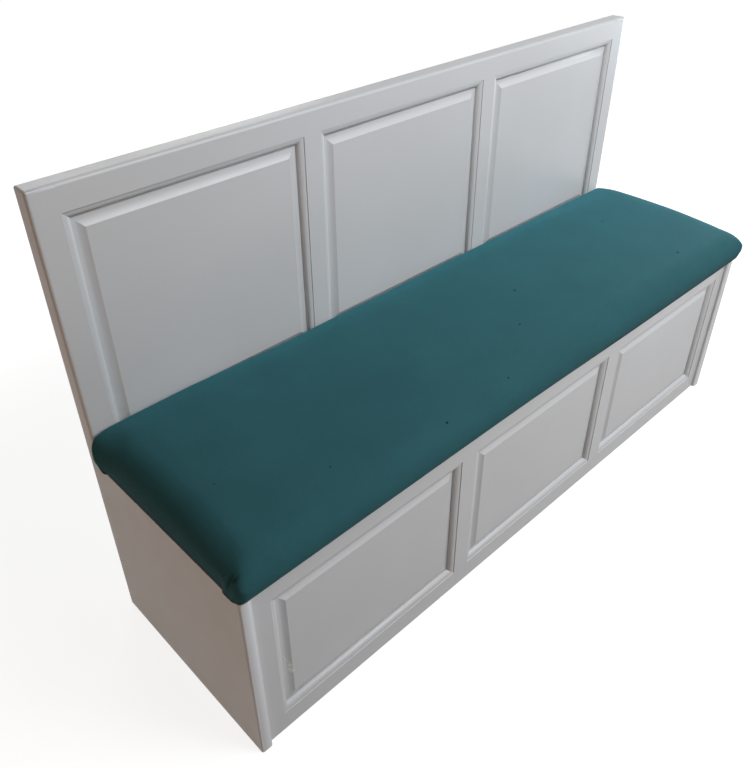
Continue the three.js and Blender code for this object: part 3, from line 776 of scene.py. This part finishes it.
def cloth_rings():
    """The rings of the cloth from the hem to the plain grid. Each gives the insets from the fullest
    line in front, at the ends and behind, the height above the underside, None on the top, the
    radius of its corners, how far the corner folds draw it and down to which inset, how far it
    sags, and, as dark, how much painted shade darkens it where it turns under."""
    def ring(front, end, rear, height, radius, fold=0.0, fold_end=0.0, sag=0.0, dark=0.0):
        fade = rear / plain_inset if height is None else 0.0
        return {"front": front, "end": end, "rear": rear, "height": height, "radius": radius, "fold": fold,
                "fold_end": fold_end, "sag": sag, "dark": dark, "draw_fade": fade}

    rings = [ring(front_tuck + inset, end_tuck + inset, inset, height, hem_corner_radius, *shares)
             for inset, height, *shares in hem_rings]
    for step in range(1, wall_steps + 1):
        height = bulge_height * step / wall_steps
        share = (1 - height / bulge_height) ** 2
        radius = corner_radius + (hem_corner_radius - corner_radius) * share
        # dark is painted shade on the lower edge of the sides, where the cloth turns under
        rings.append(ring(front_tuck * share, end_tuck * share, 0.0, height, radius,
                          fold=smooth_share(1 - height / fold_height), fold_end=end_tuck - fold_out,
                          sag=smooth_share(1 - height / sag_height),
                          dark=smooth_share(2 - 2 * height / hem_shade_height)))
    for step in range(1, round_steps + 1):
        inset = front_round * (1 - math.cos(math.pi / 2 * step / round_steps))
        rings.append(ring(inset, inset, inset, None, ring_radius(inset)))
    for step in range(1, margin_steps + 1):
        inset = front_round + flat_margin * step / margin_steps
        rings.append(ring(inset, inset, inset, None, ring_radius(inset)))
    return rings


def corner_place(reach, side, radius, plain, share, on_end):
    """A place on the way from a plain stretch to the middle of a corner, and its distance from that
    middle. reach and side are how far the ring goes along the bench and across it, and plain says
    where the plain stretches end. on_end starts at the end of the bench, else at its long side."""
    if on_end:
        reach, side = side, reach
        plain = (plain[1], plain[0])
    straight = reach - radius - plain[0]
    path = straight + radius * math.pi / 4
    way = share * path
    if way <= straight:
        place = (plain[0] + way, side)
    else:
        angle = (way - straight) / radius
        place = (reach - radius + radius * math.sin(angle), side - radius + radius * math.cos(angle))
    return (place[1], place[0], path - way) if on_end else (*place, path - way)


def corner_point(ring, share, on_end, right, rear):
    """A point in the corner zone of a ring, as distances along and across, and how far it hangs."""
    limit = seat_rear if rear else -seat_front
    reach = half_width - ring["end"]
    side = limit - (ring["rear"] if rear else ring["front"])
    plain = (half_width - plain_inset, limit - plain_inset)
    radius = ring["radius"] * (rear_left_corner_share if rear and not right else 1)
    *_, away = corner_place(reach, side, radius, plain, share, on_end)
    length = fold_lengths[("rear_" if rear else "front_") + ("right" if right else "left")]
    fold = smooth_share((length - away) / fold_onset) * smooth_share(away / fold_return) if on_end else 0
    reach += fold * ring["fold"] * (ring["end"] - ring["fold_end"])
    far, wide, _ = corner_place(reach, side, radius, plain, share, on_end)
    return far, wide, fold * ring["fold"] ** fold_drop_power * fold_drop


def cloth_point(rings, di, dj, x_line, y_line, right, rear):
    """A point of the cloth, di and dj steps from the nearest end and long side. x_line and y_line
    are its lines of the plain grid, and right and rear tell its corner."""
    plain_ring = len(rings) - 1
    if min(di, dj) >= plain_ring:
        return x_line, y_line, seat_base + top_height(x_line, y_line)
    ring = rings[min(di, dj)]
    side_sign, long_sign = (1 if right else -1), (1 if rear else -1)
    limit = seat_rear if rear else -seat_front
    down = 0.0
    if di >= plain_ring:
        x, y = x_line, long_sign * (limit - (ring["rear"] if rear else ring["front"]))
    elif dj >= plain_ring:
        x, y = side_sign * (half_width - ring["end"]), y_line
    else:
        on_end = dj > di
        share = (plain_ring - max(di, dj)) / (plain_ring - min(di, dj))
        far, wide, down = corner_point(ring, share, on_end, right, rear)
        x, y = side_sign * far, long_sign * wide
    sag = ring["sag"] * smooth_share((x - sag_from) / (sag_to - sag_from)) if dj <= di and not rear else 0
    height = top_height(x, y) if ring["height"] is None else ring["height"] - down - sag * sag_down
    fade = 1 - ring["draw_fade"]
    move_x, move_y = side_swell(x, y, 1 if ring["height"] is None else ring["height"] / bulge_height)
    move_y -= sag * sag_out
    if dj <= di and not rear:
        move_y += fade * front_draw * max(1 - (x / (half_width - corner_radius)) ** 2, 0)
    if di <= dj:
        across_end = (2 * y - seat_front - seat_rear) / (seat_rear - seat_front - 2 * corner_radius)
        above_hem = 1 if ring["height"] is None else smooth_share(ring["height"] / bulge_height)
        move_x -= side_sign * fade * above_hem * end_draw * max(1 - across_end ** 2, 0)
    return x + move_x, y + move_y, seat_base + height


def lines(low, high, spacing):
    count = round((high - low) / spacing)
    return [low + (high - low) * i / count for i in range(count + 1)]


def cloth_sheet():
    """The cover's outer face as one sheet: a grid whose outer rings are the rounding, the sides and
    the hem. Its uv map holds the flat cloth, in metres."""
    rings = cloth_rings()
    plain_ring = len(rings) - 1
    xs = lines(-half_width + plain_inset, half_width - plain_inset, grid_spacing)
    ys = lines(seat_front + plain_inset, seat_rear - plain_inset, grid_spacing)
    across, deep = len(xs) - 1 + 2 * plain_ring, len(ys) - 1 + 2 * plain_ring
    points = []
    for j in range(deep + 1):
        for i in range(across + 1):
            di, dj = min(i, across - i), min(j, deep - j)
            x_line = xs[min(max(i - plain_ring, 0), len(xs) - 1)]
            y_line = ys[min(max(j - plain_ring, 0), len(ys) - 1)]
            points.append(cloth_point(rings, di, dj, x_line, y_line, 2 * i > across, 2 * j > deep))
    row = across + 1
    faces = [(j * row + i, j * row + i + 1, (j + 1) * row + i + 1, (j + 1) * row + i)
             for j in range(deep) for i in range(across)]
    mesh = bpy.data.meshes.new("seat_cloth")
    mesh.from_pydata(points, [], faces)
    flat = flat_places(points, across, deep)
    corners = np.zeros(len(mesh.loops), int)
    mesh.loops.foreach_get("vertex_index", corners)
    # Painted shade on the turned-under lower edge, which the cloth's material reads
    dark = [rings[min(i, across - i, j, deep - j, plain_ring)]["dark"]
            for j in range(deep + 1) for i in range(across + 1)]
    mesh.attributes.new("painted_hem_shade", "FLOAT", "POINT").data.foreach_set("value", dark)
    mesh.uv_layers.new(name="cloth").uv.foreach_set("vector", flat[corners].astype(np.float32).ravel())
    return mesh


def flat_places(points, across, deep):
    """Where each point of the sheet lies on the flat cloth, measured along its middle lines."""
    grid = np.array(points).reshape(deep + 1, across + 1, 3)
    middle_row, middle_column = grid[deep // 2], grid[:, across // 2]
    ways = [np.concatenate(([0], np.cumsum(np.linalg.norm(np.diff(line, axis=0), axis=1))))
            for line in (middle_row, middle_column)]
    return np.stack(np.meshgrid(ways[0], ways[1]), axis=-1).reshape(-1, 2)


def evened(move, mesh):
    """A movement of the mesh's points, evened out between neighbours."""
    ends = np.zeros(2 * len(mesh.edges), int)
    mesh.edges.foreach_get("vertices", ends)
    pairs = ends.reshape(-1, 2)
    pairs = np.concatenate([pairs, pairs[:, ::-1]])
    neighbours = np.bincount(pairs[:, 0], minlength=len(move))[:, None]
    for _ in range(even_rounds):
        total = np.zeros_like(move)
        np.add.at(total, pairs[:, 0], move[pairs[:, 1]])
        move = (move + total / neighbours) / 2
    return move


def settle(cover):
    """Lets the cloth swell over its foam. Its lower edge stays where it is fastened."""
    rest = np.array([vert.co for vert in cover.data.vertices], float)
    held = cover.vertex_groups.new(name="held")
    free = np.array([smooth_share((z - seat_base - held_height) / bulge_height) for z in rest[:, 2]])
    for index, share in enumerate(free):
        held.add([index], 1 - share, "ADD")
    cloth = cover.modifiers.new("cloth", "CLOTH")
    cloth.settings.quality = cloth_quality
    cloth.settings.mass = cloth_mass
    cloth.settings.tension_stiffness = cloth_stiffness
    cloth.settings.compression_stiffness = cloth_stiffness
    cloth.settings.bending_stiffness = bending_stiffness
    cloth.settings.use_pressure = True
    cloth.settings.uniform_pressure_force = swell_pressure
    cloth.settings.vertex_group_mass = "held"
    cloth.settings.effector_weights.gravity = 0
    cloth.collision_settings.use_collision = False
    cloth.point_cache.frame_end = swell_frames
    scene = bpy.context.scene
    for number in range(1, swell_frames + 1):
        scene.frame_set(number)
    swollen = cover.evaluated_get(bpy.context.evaluated_depsgraph_get()).data
    move = np.array([vert.co for vert in swollen.vertices], float) - rest
    length = np.linalg.norm(move, axis=1, keepdims=True)
    move *= np.minimum(1, most_swell / np.maximum(length, least_move))
    move = evened(move, cover.data) * free[:, None]
    cover.modifiers.remove(cloth)
    scene.frame_set(1)
    cover.data.vertices.foreach_set("co", (rest + move).ravel())
    cover.data.update()


def crease_share(point):
    """How deep in a crease a point of the cloth lies, 1 being its bottom."""
    forward, up = point.y - seat_front, point.z - seat_base
    deepest = 0.0
    for (y0, z0), (y1, z1) in creases:
        along_y, along_z = y1 - y0, z1 - z0
        length = math.hypot(along_y, along_z)
        share = ((forward - y0) * along_y + (up - z0) * along_z) / length ** 2
        inner = min(max(share, 0), 1)
        away = math.hypot(forward - y0 - inner * along_y, up - z0 - inner * along_z)
        tapered = math.sin(math.pi * (crease_end + (1 - 2 * crease_end) * inner))
        deepest = max(deepest, math.exp(-(away / crease_width) ** 2) * tapered)
    return deepest


def dent(point):
    """The slight unevenness of the foam under the cloth."""
    soft = noise_at(point / dent_size)
    fine = noise_at(point / ripple_size + ripple_shift)
    return dent_depth * soft + ripple_depth * fine


def shape_cloth(cover):
    mesh = cover.data
    moved, crease_and_painted_shade = [], []
    for vert in mesh.vertices:
        beside = vert.co.x < left_round - half_width and vert.co.z > seat_base
        crease_and_painted_shade.append(crease_share(vert.co) if beside else 0.0)
        shift = dent(vert.co) * smooth_share((vert.co.z - seat_base) / bulge_height)
        moved.append(vert.co + vert.normal * (shift - crease_depth * crease_and_painted_shade[-1]))
    for vert, place in zip(mesh.vertices, moved):
        vert.co = place
    # The same share darkens the cloth's colour in the crease: painted shade
    mesh.attributes.new("crease_and_painted_shade", "FLOAT", "POINT").data.foreach_set("value", crease_and_painted_shade)
    mesh.update()


def apply_modifiers(piece):
    evaluated = piece.evaluated_get(bpy.context.evaluated_depsgraph_get())
    mesh = bpy.data.meshes.new_from_object(evaluated)
    piece.modifiers.clear()
    piece.data = mesh


def draw_in(bm, distance):
    """Draws a piece in by that distance on its top and its sides. Its underside stays where it is."""
    places = np.array([vert.co for vert in bm.verts], float)
    low, high = places.min(axis=0), places.max(axis=0)
    centre = (low + high) / 2
    centre[2] = low[2]
    places = centre + (places - centre) * (1 - distance / (high - centre))
    for vert, place in zip(bm.verts, places):
        vert.co = place


def dress_seat():
    cover = bpy.data.objects.new("cloth_seat_cover", cloth_sheet())
    bpy.context.scene.collection.objects.link(cover)
    cover.data.shade_smooth()
    settle(cover)
    cover.modifiers.new("finer", "SUBSURF").levels = 1
    apply_modifiers(cover)
    shape_cloth(cover)
    thickness = cover.modifiers.new("thickness", "SOLIDIFY")
    thickness.thickness = cloth_thickness
    thickness.offset = -1
    thickness.use_even_offset = False
    apply_modifiers(cover)
    cover.data.materials.append(woven_cloth())
    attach(cover, "seat")
    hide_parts("seat_cover")

    bm = welded("seat_foam")
    draw_in(bm, foam_inset)
    mesh = bpy.data.meshes.new("cut_seat_foam")
    bm.to_mesh(mesh)
    bm.free()
    mesh.shade_smooth()
    foam = new_piece(mesh.name, mesh, "seat", cut_foam())
    foam.modifiers.new("rounder", "SUBSURF").levels = 1
    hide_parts("seat_foam")


# Floor and light

def seen_directly(tree):
    """1 for rays that come from the camera, a mirror image or through glass."""
    path = add(tree, "LightPath")
    rays = [path.outputs[name] for name in ("Is Camera Ray", "Is Glossy Ray", "Is Transmission Ray")]
    total = math_of(tree, "ADD", math_of(tree, "ADD", rays[0], rays[1]), rays[2])
    return math_of(tree, "MINIMUM", total, 1.0)


def make_stage():
    material, tree = new_tree("pale_floor")
    away = vector_of(tree, "LENGTH", add(tree, "TexCoord").outputs["Object"])
    strength = ranged(tree, away, glow_from, glow_to, near_glow, far_glow)
    glow = add(tree, "Emission", {"Color": (1, 1, 1, 1), "Strength": strength}).outputs[0]
    pale = add(tree, "BsdfDiffuse", {"Color": rgba(floor_seen_colour)}).outputs[0]
    seen = add(tree, "AddShader", {0: glow, 1: pale}).outputs[0]
    lit = add(tree, "BsdfDiffuse", {"Color": rgba(floor_bounce_colour)}).outputs[0]
    surface = add(tree, "MixShader", {0: seen_directly(tree), 1: lit, 2: seen}).outputs[0]
    add(tree, "OutputMaterial", {"Surface": surface})
    bm = bmesh.new()
    bmesh.ops.create_grid(bm, x_segments=1, y_segments=1, size=floor_reach)
    mesh = bpy.data.meshes.new("floor")
    bm.to_mesh(mesh)
    bm.free()
    floor = bpy.data.objects.new("floor", mesh)
    floor.location.z = -floor_gap
    mesh.materials.append(material)
    bpy.context.scene.collection.objects.link(floor)


def make_lights():
    world = bpy.data.worlds.new("studio")
    bpy.context.scene.world = world
    world.use_nodes = True
    tree = world.node_tree
    tree.nodes.clear()
    room = add(tree, "Background", {"Color": rgba(room_colour), "Strength": room_strength}).outputs[0]
    white = add(tree, "Background", {"Color": (1, 1, 1, 1), "Strength": 1.0}).outputs[0]
    surface = add(tree, "MixShader", {0: seen_directly(tree), 1: room, 2: white}).outputs[0]
    add(tree, "OutputWorld", {"Surface": surface})
    for name, (place, aim, size, watts, colour) in lamps.items():
        data = bpy.data.lights.new(name, "AREA")
        data.shape = "DISK"
        data.size = size
        data.energy = watts
        data.color = colour
        lamp = bpy.data.objects.new(name, data)
        lamp.location = place
        lamp.rotation_euler = (Vector(aim) - Vector(place)).to_track_quat("-Z", "Y").to_euler()
        bpy.context.scene.collection.objects.link(lamp)


# Camera

camera_data = bpy.data.cameras.new("camera")
camera_data.sensor_width = sensor_size
camera_data.lens = sensor_size * focal_pixels / photo_height
camera_data.shift_x = (photo_width / 2 - optical_centre[0]) / photo_height
camera_data.shift_y = (optical_centre[1] - photo_height / 2) / photo_height
camera = bpy.data.objects.new("camera", camera_data)
camera.location = camera_place
camera.rotation_euler = [math.radians(angle) for angle in camera_turn]
bpy.context.scene.collection.objects.link(camera)
bpy.context.scene.camera = camera
bpy.context.scene.view_settings.view_transform = "Standard"

# The scene

dress_painted_pieces()
dress_bare_pieces()
dress_screws()
dress_seat()
make_stage()
make_lights()
